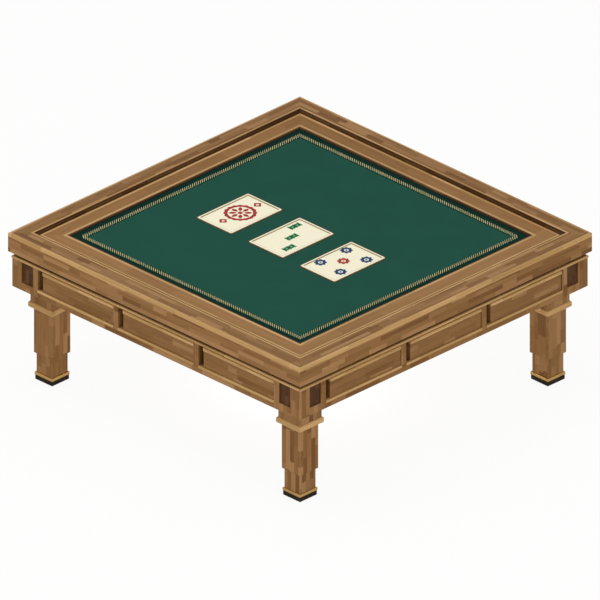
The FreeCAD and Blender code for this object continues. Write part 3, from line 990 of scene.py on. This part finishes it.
@dataclass
class Inlay:
    """The figure let into a tile's dished face.

    Attributes:
        shape: where the faces go.
        middle: the figure's middle.
        low: the height of its underside.
        high: the height of its face.
        spread: how far the outer canes and rings are from the middle, across and up.
    """

    shape: BMesh
    middle: Point
    low: float
    high: float
    spread: Point = (31 * MM, 40 * MM)

    def disc(self, outline: Outline, ink: Ink, place: Point = (0.0, 0.0)) -> None:
        """Inlay a solid outline.

        Args:
            outline: the outline about its own centre.
            ink: its finish.
            place: where that centre is from the figure's middle.
        """
        placed = moved(moved(outline, place), self.middle)
        loft(self.shape, [(placed, self.low), (placed, self.high)], [ink, ink])

    def ring(self, outer: Outline, inner: Outline, ink: Ink, place: Point = (0.0, 0.0)) -> None:
        """Inlay a ring between two outlines of the same count.

        Args:
            outer: the outer outline about its own centre.
            inner: the inner outline.
            ink: its finish.
            place: where that centre is from the figure's middle.
        """
        rim, hole = (moved(moved(outline, place), self.middle) for outline in (outer, inner))
        loops = [(rim, self.low), (rim, self.high), (hole, self.high), (hole, self.low)]
        walls(self.shape, loops, [ink] * len(loops), closed=True)

    def rosette(self) -> None:
        """Inlay a wheel of petals with a lozenge above and below, in red."""
        petals, chords = 8, 96
        wheel = lobed_ring(36 * MM, 2 * petals, 1.2 * MM, steps=chords)
        self.ring(wheel, lobed_ring(28 * MM, steps=chords), Ink.RED)
        for turn in range(petals):
            self.disc(petal(8 * MM, 26.5 * MM, 4.6 * MM, math.tau * turn / petals), Ink.RED)
        hub = lobed_ring(5.5 * MM)
        self.disc(hub, Ink.RED)
        lozenge, opening = lobed_ring(11 * MM, steps=4), lobed_ring(4.5 * MM, steps=4)
        for rise in (-53 * MM, 53 * MM):
            self.ring(lozenge, opening, Ink.RED, (0.0, rise))

    def canes(self) -> None:
        """Inlay three jointed canes on a diagonal, in green."""
        joint = rounded_rectangle(17 * MM, 4.6 * MM, 1.8 * MM, 4)
        bulge, slit = lobed_ring(7.4 * MM, stretch=0.9), lobed_ring(0.9 * MM, stretch=2.6)
        half_pitch = 7 * MM
        for share in (-1, 0, 1):
            across, up = share * self.spread[0], -share * self.spread[1]
            for rise in (-2 * half_pitch, 0.0, 2 * half_pitch):
                self.disc(joint, Ink.GREEN, (across, up + rise))
            for rise in (-half_pitch, half_pitch):
                self.ring(bulge, slit, Ink.GREEN, (across, up + rise))

    def rings(self) -> None:
        """Inlay four scalloped rings in blue round one in red."""
        chords = 64
        scalloped = lobed_ring(13.2 * MM, 8, 1.6 * MM, steps=chords)
        opening, dot = lobed_ring(5.4 * MM, steps=chords), lobed_ring(2.4 * MM)
        for right, back in ((-1, 1), (1, 1), (0, 0), (-1, -1), (1, -1)):
            place = (right * self.spread[0], back * self.spread[1])
            ink = Ink.BLUE if right else Ink.RED
            self.ring(scalloped, opening, ink, place)
            self.disc(dot, ink, place)


@dataclass
class TilePlaque:
    """One large tile let into the felt: a cream face on a bamboo back, with an inlaid figure.

    Attributes:
        node: the CAD node that it stands for.
        figure: what is inlaid in its face.
        corner: the radius of its corners.
        least_corner: the smallest radius inside them.
        shift: where the figure's middle is from the tile's.
        step: how far the face stands in from the back.
        soft_edge: the round of its upper edge.
        ledge_drop: how far the back's ledge is below that round.
        border: where the border ends, from the outside.
        slope: the width of the slope into the dished face.
        dish: the depth of the dished face.
        inlay: how far the inlay stands up.
    """

    node: str
    figure: Figure
    corner: float = 6 * MM
    least_corner: float = 1.5 * MM
    shift: Point = (-2 * MM, 4 * MM)
    step: float = 2.6 * MM
    soft_edge: float = 0.9 * MM
    ledge_drop: float = 0.2 * MM
    border: float = 6.6 * MM
    slope: float = 2.3 * MM
    dish: float = 1.35 * MM
    inlay: float = 0.25 * MM

    def build(self, finishes: list[Material]) -> Object:
        """Build the plaque with its figure.

        Args:
            finishes: its finishes, in the order of Ink.

        Returns:
            The piece.
        """
        low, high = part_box(self.node)
        shape = bmesh.new()
        self._body(shape, low, high)
        floor = high.z - self.dish
        middle = ((low.x + high.x) / 2 + self.shift[0], (low.y + high.y) / 2 + self.shift[1])
        inlay = Inlay(shape, middle, floor - self.inlay, floor + self.inlay)
        draw = {Figure.ROSETTE: inlay.rosette, Figure.CANES: inlay.canes, Figure.RINGS: inlay.rings}
        draw[self.figure]()
        bmesh.ops.recalc_face_normals(shape, faces=shape.faces)
        plaque = keep_piece(self.node + "_plaque", shape, finishes)
        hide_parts(self.node)
        return plaque

    def _body(self, shape: BMesh, low: Vector, high: Vector) -> None:
        """Add the back, the rounded border and the dished face.

        Args:
            shape: where the faces go.
            low: the lowest corner of the tile.
            high: its highest corner.
        """
        width, length = high.x - low.x, high.y - low.y
        centre = ((low.x + high.x) / 2, (low.y + high.y) / 2)
        shoulder = high.z - self.soft_edge
        ledge = shoulder - self.ledge_drop
        rows = [(0.0, low.z), (0.0, ledge), (self.step, ledge), (self.step, shoulder)]
        for part in range(1, ROUND_STEPS + 1):
            angle = math.pi / 2 * part / ROUND_STEPS
            rows.append((
                self.step + self.soft_edge * (1 - math.cos(angle)),
                shoulder + self.soft_edge * math.sin(angle),
            ))
        rows.append((self.border, high.z))
        rows.append((self.border + self.slope, high.z - self.dish))
        loops = []
        for inset, height in rows:
            radius = max(self.corner - inset, self.least_corner)
            outline = rounded_rectangle(width - 2 * inset, length - 2 * inset, radius)
            loops.append((moved(outline, centre), height))
        border = [Ink.CREAM] * (len(loops) - 4)
        # The slope into the dished face takes the tan finish: painted shade on the slope.
        loft(shape, loops, [Ink.BACK, Ink.BACK] + border + [Ink.SLOPE_SHADE, Ink.CREAM])


@dataclass
class PlayingBoard:
    """The lift-out board: band, edgings, felt with its sewn border, and the slip round it.

    Attributes:
        slip_width: the width of the slip that holds the felt, dark as painted shade at the felt's edge.
        slip_drop: how far the slip stays below the band.
        slip_round: the round of its inner top edge.
        tape_width: the width of the tape, dark as painted shade along the felt's edge.
        tape_height: how far the tape stands on the felt.
        tape_sink: how far it is pressed into the felt.
        tape_edge: the slope along its edges.
        row_middle: how far the row of stitches is from the felt's edge.
        pitch: the distance between stitches.
        stitch: a stitch's length, width and thickness.
        stitch_lift: how far a stitch's middle is above the tape.
        slant: how far a stitch leans from the row.
        sway: how much that differs from stitch to stitch.
        seed: picks the sway.
        mesh_step: the felt's mesh size.
        ripple: the felt's unevenness.
        ripple_scale: how fine that is.
        felt_drop: how far the felt's face stays below its CAD box.
        seam_dip: how far the stitches draw the felt down.
        seam_reach: how far from the row they do.
        tile_room: the gap round a tile.
    """

    slip_width: float = 4.2 * MM
    slip_drop: float = 0.3 * MM
    slip_round: float = 1.4 * MM
    tape_width: float = 28.0 * MM
    tape_height: float = 0.5 * MM
    tape_sink: float = 0.4 * MM
    tape_edge: float = 0.3 * MM
    row_middle: float = 25.0 * MM
    pitch: float = 6.0 * MM
    stitch: tuple[float, float, float] = (21.0 * MM, 2.1 * MM, 1.2 * MM)
    stitch_lift: float = 0.15 * MM
    slant: float = math.radians(-45)
    sway: float = math.radians(6)
    seed: int = 4
    mesh_step: float = 8.0 * MM
    ripple: float = 0.12 * MM
    ripple_scale: float = 30.0
    felt_drop: float = 0.15 * MM
    seam_dip: float = 0.25 * MM
    seam_reach: float = 8.0 * MM
    tile_room: float = 0.3 * MM

    TOLERANCE = 1e-7

    def build(self, finishes: "Finishes") -> None:
        """Build the board's new pieces and dress its CAD nodes.

        Args:
            finishes: the table's finishes.
        """
        dress(finishes.band, "board_band_rails")
        # Painted highlight: the board's pale edgings stand in for the highlights along the band's edges.
        dress(finishes.pale, "board_edging")
        dress(finishes.plain, "board_core")
        low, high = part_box("felt")
        half = high.x
        self._slip(half, low.z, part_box("board_band_rails")[1].z, finishes.dark)
        tape = self._tape(half - self.slip_width, high.z, finishes.tape)
        stitches = self._stitches(half, high.z + self.tape_height, finishes.thread)
        felt = self._felt(low, high, finishes.felt)
        inks = [finishes.cream, finishes.bamboo, finishes.slope_shade]
        inks += [finishes.red, finishes.green, finishes.blue]
        for place, figure in zip(PLACES, Figure):
            TilePlaque(f"tile_{place}", figure).build(inks)

    def _slip(self, half: float, low: float, band_top: float, finish: Material) -> Object:
        """Build the slip between the band and the felt, dark as painted shade at the felt's edge.

        Args:
            half: half the felt well's side.
            low: the height of the core's face.
            band_top: the height of the band's face.
            finish: the slip's finish.

        Returns:
            The piece.
        """
        top = band_top - self.slip_drop
        inner = half - self.slip_width
        profile = [(half, low), (half, top)]
        for part in range(ROUND_STEPS + 1):
            angle = math.pi / 2 * part / ROUND_STEPS
            inset = self.slip_round * (1 - math.sin(angle))
            profile.append((inner + inset, top - self.slip_round * (1 - math.cos(angle))))
        profile.append((inner, low))
        return keep_piece("felt_slip", mitred_frame(profile), [finish])

    def _tape(self, half: float, felt_top: float, finish: Material) -> Object:
        """Build the tape along the felt's edge, dark as painted shade there.

        Args:
            half: half the side of the square that it lies in.
            felt_top: the height of the felt's face.
            finish: the tape's finish.

        Returns:
            The piece.
        """
        inner, edge = half - self.tape_width, self.tape_edge
        top, low = felt_top + self.tape_height, felt_top - self.tape_sink
        profile = [(half, low), (half, top - edge), (half - edge, top)]
        profile += [(inner + edge, top), (inner, top - edge), (inner, low)]
        return keep_piece("border_shade_tape", mitred_frame(profile), [finish])

    def _stitches(self, half: float, tape_top: float, thread: Material) -> Object:
        """Sew the long stitches that hold the tape.

        Args:
            half: half the felt's side.
            tape_top: the height of the tape's face.
            thread: the thread's finish.

        Returns:
            The piece.
        """
        length, width, thickness = self.stitch
        side = 2 * (half - self.row_middle)
        count = round(side / self.pitch)
        border = SewingTree(thread).sew({
            "Side": side,
            "Count": count,
            "Pitch": side / count,
            "Length": length,
            "Width": width,
            "Thickness": thickness,
            "Slant": self.slant,
            "Sway": self.sway,
            "Height": tape_top + self.stitch_lift,
            "Seed": self.seed,
        })
        return link_piece("border_stitches", border)

    def _felt(self, low: Vector, high: Vector, finish: Material) -> Object:
        """Build the felt with its openings for the tiles.

        Args:
            low: the felt's lowest corner.
            high: its highest corner.
            finish: the felt's finish.

        Returns:
            The piece.
        """
        half = high.x - self.slip_width
        holes = []
        for place in PLACES:
            near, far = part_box(f"tile_{place}")
            room = 2 * self.tile_room
            radius = TilePlaque.corner + self.tile_room
            outline = rounded_rectangle(far.x - near.x + room, far.y - near.y + room, radius)
            holes.append(moved(outline, ((near.x + far.x) / 2, (near.y + far.y) / 2)))
        points, edges = self._plan(half, holes)
        found, _, faces, _, _, _ = geometry.delaunay_2d_cdt(points, edges, [], 0, self.TOLERANCE)
        shape = bmesh.new()
        top = [shape.verts.new((p.x, p.y, self._height(p.x, p.y, half, high.z))) for p in found]
        under = [shape.verts.new((p.x, p.y, low.z)) for p in found]
        for face in faces:
            middle = sum((found[i] for i in face), Vector((0.0, 0.0))) / len(face)
            if not any(self._inside(middle, hole) for hole in holes):
                shape.faces.new([top[i] for i in face])
                shape.faces.new([under[i] for i in reversed(face)])
        below = dict(zip(top, under))
        open_edges = [edge for edge in shape.edges if edge.is_boundary]
        rims = [edge for edge in open_edges if all(vert in below for vert in edge.verts)]
        for edge in rims:
            loop = edge.link_loops[0]
            start, end = loop.vert, loop.link_loop_next.vert
            shape.faces.new((end, start, below[start], below[end]))
        loose = [vert for vert in shape.verts if not vert.link_faces]
        bmesh.ops.delete(shape, geom=loose, context="VERTS")
        felt = keep_piece("felt_field", shape, [finish])
        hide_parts("felt")
        return felt

    def _plan(self, half: float, holes: list[Outline]) -> tuple[list[Vector], list[tuple[int, int]]]:
        """Lay out the felt's points and fixed edges.

        Args:
            half: half the felt's side.
            holes: the openings.

        Returns:
            The points, and the edges that the mesh keeps.
        """
        count = round(2 * half / self.mesh_step)
        line = [half * (2 * step / count - 1) for step in range(count + 1)]
        rim = [(x, -half) for x in line[:-1]] + [(half, y) for y in line[:-1]]
        rim += [(-x, half) for x in line[:-1]] + [(-half, -y) for y in line[:-1]]
        points, edges = [], []
        for outline in [rim] + holes:
            first = len(points)
            points += [Vector(point) for point in outline]
            edges += [(first + i, first + (i + 1) % len(outline)) for i in range(len(outline))]
        for x in line[1:-1]:
            for y in line[1:-1]:
                point = Vector((x, y))
                if not any(self._inside(point, hole) for hole in holes):
                    points.append(point)
        return points, edges

    @staticmethod
    def _inside(point: Vector, outline: Outline) -> bool:
        """Tell whether a point is inside an outline.

        Args:
            point: the point.
            outline: the outline, anticlockwise, which bulges everywhere.

        Returns:
            True where it is inside.
        """
        following = outline[1:] + outline[:1]
        return all(
            (bx - ax) * (point.y - ay) - (by - ay) * (point.x - ax) > 0
            for (ax, ay), (bx, by) in zip(outline, following)
        )

    def _height(self, x: float, y: float, half: float, top: float) -> float:
        """Give the felt's height, uneven and drawn down under the tape.

        Args:
            x: the place along X.
            y: the place along Y.
            half: half the felt's side.
            top: the height of its face.

        Returns:
            The height.
        """
        scale = self.ripple_scale
        uneven = noise.noise(Vector((x * scale, y * scale, 0.5))) * self.ripple
        sewn = half + self.slip_width - self.row_middle - max(abs(x), abs(y))
        return top - self.felt_drop + uneven - self.seam_dip * math.exp(-(sewn / self.seam_reach) ** 2)


class Finishes:
    """Every finish of the table, made once.

    Attributes:
        RIM_SHADE_EDGE: how far out from the table's middle the rim is painted dark, as painted shade on its
            inner face in the gap round the board.
        GAP_SHADE_EDGE: how far out the dark line along the inner edge of the rim's edging goes, painted
            shade of the gap that also darkens the edging's inner face.
        LIP_FACE: how far out the pale band along a tray face's top starts, a painted highlight for its lit
            top edge.
        LIP_BASE: the height where it starts.
        LIP_END: a place beyond its outer face.
        LEG_EDGES: the legs' worn edges.
        POST_EDGES: the worn outer edges of the corner posts.
    """

    RIM_SHADE_EDGE = 409.0 * MM
    GAP_SHADE_EDGE = 410.5 * MM
    LIP_FACE, LIP_BASE, LIP_END = 436.4 * MM, 288.45 * MM, 1.0
    LEG_EDGES = Arris(382 * MM, (24.5 * MM, 28.6 * MM, 34 * MM), (66.5 * MM, 192.5 * MM))
    POST_EDGES = Arris(0.0, (444 * MM,))

    def __init__(self) -> None:
        """Make the materials."""
        rim_staves = (BROWN_STAVES, Grain.FRAME, 10.6 * MM, 150 * MM)
        # Painted shade: the rim's inner face in the gap round the board is painted in dark staves.
        rim_gap_shade = PaintedLightStrip(RIM_GAP_SHADE_STAVES, 0.0, self.RIM_SHADE_EDGE, 0.0)
        self.rim = WoodFinish("brown_stave_wood", *rim_staves, seed=2, painted_light_strip=rim_gap_shade).material()
        band_staves = (BAND_STAVES, Grain.FRAME, 90 * MM, 420 * MM)
        self.band = WoodFinish("band_stave_wood", *band_staves, seed=5).material()
        upright_staves = (BROWN_STAVES, Grain.UPRIGHT, 12.4 * MM, 130 * MM)
        self.leg = WoodFinish("leg_stave_wood", *upright_staves, seed=3, arris=self.LEG_EDGES).material()
        self.post = WoodFinish("post_stave_wood", *upright_staves, seed=3, arris=self.POST_EDGES).material()
        panel_staves = (EVEN_STAVES, Grain.FRAME, 11.8 * MM, 130 * MM)
        # Painted highlight: the top band of each tray face is painted in pale staves for its lit top edge.
        tray_top_highlight = PaintedLightStrip(PALE_STAVES, self.LIP_FACE, self.LIP_END, self.LIP_BASE)
        self.panel = WoodFinish("tray_face_wood", *panel_staves, seed=7, painted_light_strip=tray_top_highlight).material()
        pale_staves = (PALE_STAVES, Grain.FRAME, 14.3 * MM, 330 * MM)
        # The rim's pale inner edging is a painted highlight on that edge; its dark line and inner face are
        # painted shade of the gap.
        edging_gap_shade = PaintedLightStrip(DARK_STAVES, 0.0, self.GAP_SHADE_EDGE, 0.0)
        self.lipping = WoodFinish("pale_lipping_wood", *pale_staves, seed=9, painted_light_strip=edging_gap_shade).material()
        # This pale wood is painted highlight on the edgings, sill beads and apron top rails; on the leg
        # collars it is the wood's own colour.
        self.pale = WoodFinish("pale_edge_wood", *pale_staves, seed=9).material()
        dark_staves = (DARK_STAVES, Grain.FRAME, 13.1 * MM, 300 * MM)
        # Painted shade: this dark wood stands in for shade on the felt's slip and on the battens in the
        # recess under the rim.
        self.dark = WoodFinish("dark_slip_wood", *dark_staves, seed=4).material()
        inlay_staves = (DARK_STAVES, Grain.UPRIGHT, 9.3 * MM, 60 * MM)
        self.inlay = WoodFinish("dark_inlay_wood", *inlay_staves, seed=6).material()
        plain_staves = (PLAIN_STAVES, Grain.FRAME, 61.0 * MM, 900 * MM)
        self.plain = WoodFinish("plain_inner_wood", *plain_staves, gloss=0.62).material()
        self.brass = MetalFinish("brass", "b08c52", "94703a", 0.42).material()
        self.steel = MetalFinish("zinc_steel", "9a9c9e", "7c7e80", 0.38).material()
        self.rubber = RubberFinish("black_rubber", "29231b", "3b342b").material()
        self.felt = FeltFinish("green_felt", "224f42", "2a5b4c", "1a4236").material()
        self.tape = TapeFinish("dark_green_tape", "0a2721", "13342c").material()
        self.thread = ThreadFinish("gold_thread", "cfc48c", "aaaa7c").material()
        self.cream = ResinFinish("cream_resin", "f8f1d4", "f0e7c9").material()
        # Painted shade: the tan of the tiles' dished slopes.
        self.slope_shade = ResinFinish("tan_groove", "97855c", "897750").material()
        self.bamboo = ResinFinish("bamboo_back", "6f4f2c", "5f4122", 0.5, 0.8, 0.1).material()
        self.red = ResinFinish("red_ink", "a3322b", "932c26", 0.5, shine=0.08).material()
        self.green = ResinFinish("green_ink", "1f7a4a", "1a6d42", 0.5, shine=0.08).material()
        self.blue = ResinFinish("blue_ink", "123e6b", "103862", 0.5, shine=0.08).material()


@dataclass
class Carcass:
    """The rim, the apron and everything fixed inside them.

    Attributes:
        rails: the nodes in brown wood that run round the table.
        pale: those in pale wood, painted highlight along the apron's edges.
        uprights: those that stand between the rails.
        hidden: those inside, in plain wood.
    """

    rails: tuple[str, ...] = tuple(f"rim_rail_{side}" for side in SIDES) + ("apron_bottom_rails",)
    pale: tuple[str, ...] = ("apron_top_rails", "sill_beads")
    uprights: tuple[str, ...] = tuple(f"corner_post_{corner}" for corner in CORNERS) + ("apron_muntins",)
    hidden: tuple[str, ...] = (
        "board_ledgers", "inner_rails", "tray_floors", "tray_guides", "tray_stops", "corner_blocks",
    )

    def dress(self, finishes: Finishes) -> None:
        """Dress the carcass's CAD nodes.

        Args:
            finishes: the table's finishes.
        """
        dress(finishes.rim, *self.rails)
        dress(finishes.lipping, "rim_lipping")
        dress(finishes.pale, *self.pale)
        # Painted shade: the recessed battens under the rim are dressed dark.
        dress(finishes.dark, "shadow_battens")
        dress(finishes.post, *self.uprights)
        dress(finishes.inlay, "corner_inlays")
        dress(finishes.plain, *self.hidden)


@dataclass
class Trays:
    """The twelve counter trays.

    Attributes:
        names: the trays' names, which their faces and boxes share.
    """

    names: tuple[str, ...] = tuple(f"tray_{side}_{place}" for side in SIDES for place in PLACES)

    def dress(self, finishes: Finishes) -> None:
        """Dress the trays' faces and boxes."""
        dress(finishes.panel, *(f"{name}_face" for name in self.names))
        dress(finishes.plain, *(f"{name}_box" for name in self.names))


@dataclass
class Legs:
    """The four stepped legs with their collars, ferrules, feet and fixings.

    Attributes:
        names: the legs' nodes.
    """

    names: tuple[str, ...] = tuple(f"leg_{corner}" for corner in CORNERS)

    def dress(self, finishes: Finishes) -> None:
        """Dress the legs' CAD nodes.

        Args:
            finishes: the table's finishes.
        """
        dress(finishes.leg, *self.names)
        dress(finishes.pale, "leg_collars")
        dress(finishes.brass, "foot_ferrules")
        dress(finishes.rubber, "foot_pads")
        dress(finishes.steel, "leg_bolts_washers_nuts")


class LampKind(Enum):
    """How a lamp gives its light."""

    PANEL = "AREA"
    BULB = "POINT"


@dataclass(frozen=True)
class Lamp:
    """One soft lamp, turned to the table.

    Attributes:
        name: the lamp's name.
        kind: a panel or a bulb.
        power: its power in watts.
        size: the panel's side or the bulb's radius.
        place: where it hangs.
    """

    AIM = Vector((0.0, 0.0, 0.25))

    name: str
    kind: LampKind
    power: float
    size: float
    place: tuple[float, float, float]

    def hang(self) -> None:
        """Add the lamp to the scene."""
        light = bpy.data.lights.new(self.name, self.kind.value)
        light.energy = self.power
        if self.kind is LampKind.PANEL:
            light.size = self.size
        else:
            light.shadow_soft_size = self.size
        lamp = bpy.data.objects.new(self.name, light)
        lamp.location = self.place
        towards = self.AIM - Vector(self.place)
        lamp.rotation_euler = towards.to_track_quat("-Z", "Y").to_euler()
        bpy.context.scene.collection.objects.link(lamp)


@dataclass
class Studio:
    """Floor, light and camera.

    Attributes:
        view_width: the width of the picture at the table, in metres.
        turn: how far the camera goes round from the front.
        climb: how far it is above level.
        aim: the height that it looks at.
        reach: how far it stands back.
        far: how far it sees.
        sky: the even light's strength.
        floor_reach: how far the floor goes from the middle.
        floor_tone: the floor's own colour.
        floor_white: how much of the floor shows plain white.
        lamps: the lamps.
    """

    view_width: float = 1.3077
    turn: float = math.radians(45)
    climb: float = math.radians(27.85)
    aim: float = 0.1941
    reach: float = 4.0
    far: float = 50.0
    sky: float = 0.72
    floor_reach: float = 12.0
    floor_tone: str = "f2f1ee"
    floor_white: float = 0.93
    lamps: tuple[Lamp, ...] = (
        Lamp("key", LampKind.PANEL, 26.0, 0.9, (-0.6, -0.9, 3.6)),
        Lamp("left_fill", LampKind.PANEL, 22.0, 1.6, (0.4, -3.6, 0.5)),
        Lamp("right_fill", LampKind.PANEL, 22.0, 1.6, (3.6, -0.4, 0.6)),
        Lamp("under_fill", LampKind.BULB, 3.0, 0.1, (0.0, 0.0, 0.13)),
    )

    def build(self) -> None:
        """Set up the floor, the light and the camera."""
        self._floor()
        self._sky()
        for lamp in self.lamps:
            lamp.hang()
        self._camera()
        bpy.context.scene.view_settings.view_transform = "Standard"
        LOG.info("studio ready")

    @staticmethod
    def _seen(tree: Tree) -> Value:
        """Give 1 for what the camera sees, also in metal or through glass.

        Args:
            tree: where the nodes go.

        Returns:
            The mask.
        """
        rays = tree.node("ShaderNodeLightPath").outputs
        seen = Value(tree, rays["Is Camera Ray"])
        glossy = Value(tree, rays["Is Glossy Ray"])
        return seen.upper(glossy).upper(Value(tree, rays["Is Transmission Ray"]))

    def _floor(self) -> None:
        """Lay a pale floor that shows white and keeps a soft shadow."""
        shape = bmesh.new()
        bmesh.ops.create_grid(shape, x_segments=4, y_segments=4, size=self.floor_reach)
        mesh = bpy.data.meshes.new("floor")
        shape.to_mesh(mesh)
        shape.free()
        floor = bpy.data.objects.new("floor", mesh)
        bpy.context.scene.collection.objects.link(floor)
        shader = Shader("pale_floor")
        lit = shader.node("ShaderNodeBsdfDiffuse", {}, {"Color": srgb(self.floor_tone)})
        white = shader.node("ShaderNodeEmission", {}, {"Color": srgb(WHITE), "Strength": 1.0})
        share = self._seen(shader) * self.floor_white
        both = shader.node("ShaderNodeMixShader", {}, {0: share, 1: lit.outputs[0], 2: white.outputs[0]})
        shader.node("ShaderNodeOutputMaterial", {}, {"Surface": both.outputs[0]})
        mesh.materials.append(shader.material)

    def _sky(self) -> None:
        """Light the table evenly from all round."""
        world = bpy.data.worlds.new("studio")
        bpy.context.scene.world = world
        world.use_nodes = True
        world.node_tree.nodes.clear()
        tree = Tree(world.node_tree)
        strength = self._seen(tree).choose(1.0, self.sky)
        back = tree.node("ShaderNodeBackground", {}, {"Color": srgb(WHITE), "Strength": strength})
        tree.node("ShaderNodeOutputWorld", {}, {"Surface": back.outputs[0]})

    def _camera(self) -> None:
        """Set the camera at the photograph's parallel view."""
        lens = bpy.data.cameras.new("camera")
        lens.type = "ORTHO"
        lens.ortho_scale = self.view_width
        lens.clip_end = self.far
        camera = bpy.data.objects.new("camera", lens)
        away = Vector((
            math.cos(self.climb) * math.sin(self.turn),
            -math.cos(self.climb) * math.cos(self.turn),
            math.sin(self.climb),
        ))
        camera.location = Vector((0.0, 0.0, self.aim)) + away * self.reach
        camera.rotation_euler = (-away).to_track_quat("-Z", "Y").to_euler()
        bpy.context.scene.collection.objects.link(camera)
        bpy.context.scene.camera = camera


def main() -> None:
    """Build and dress the table in its studio."""
    logging.basicConfig(level=logging.INFO, format="%(message)s")
    finishes = Finishes()
    Studio().build()
    Carcass().dress(finishes)
    Trays().dress(finishes)
    Legs().dress(finishes)
    PlayingBoard().build(finishes)
    bpy.context.view_layer.update()


if __name__ == "__main__":
    main()
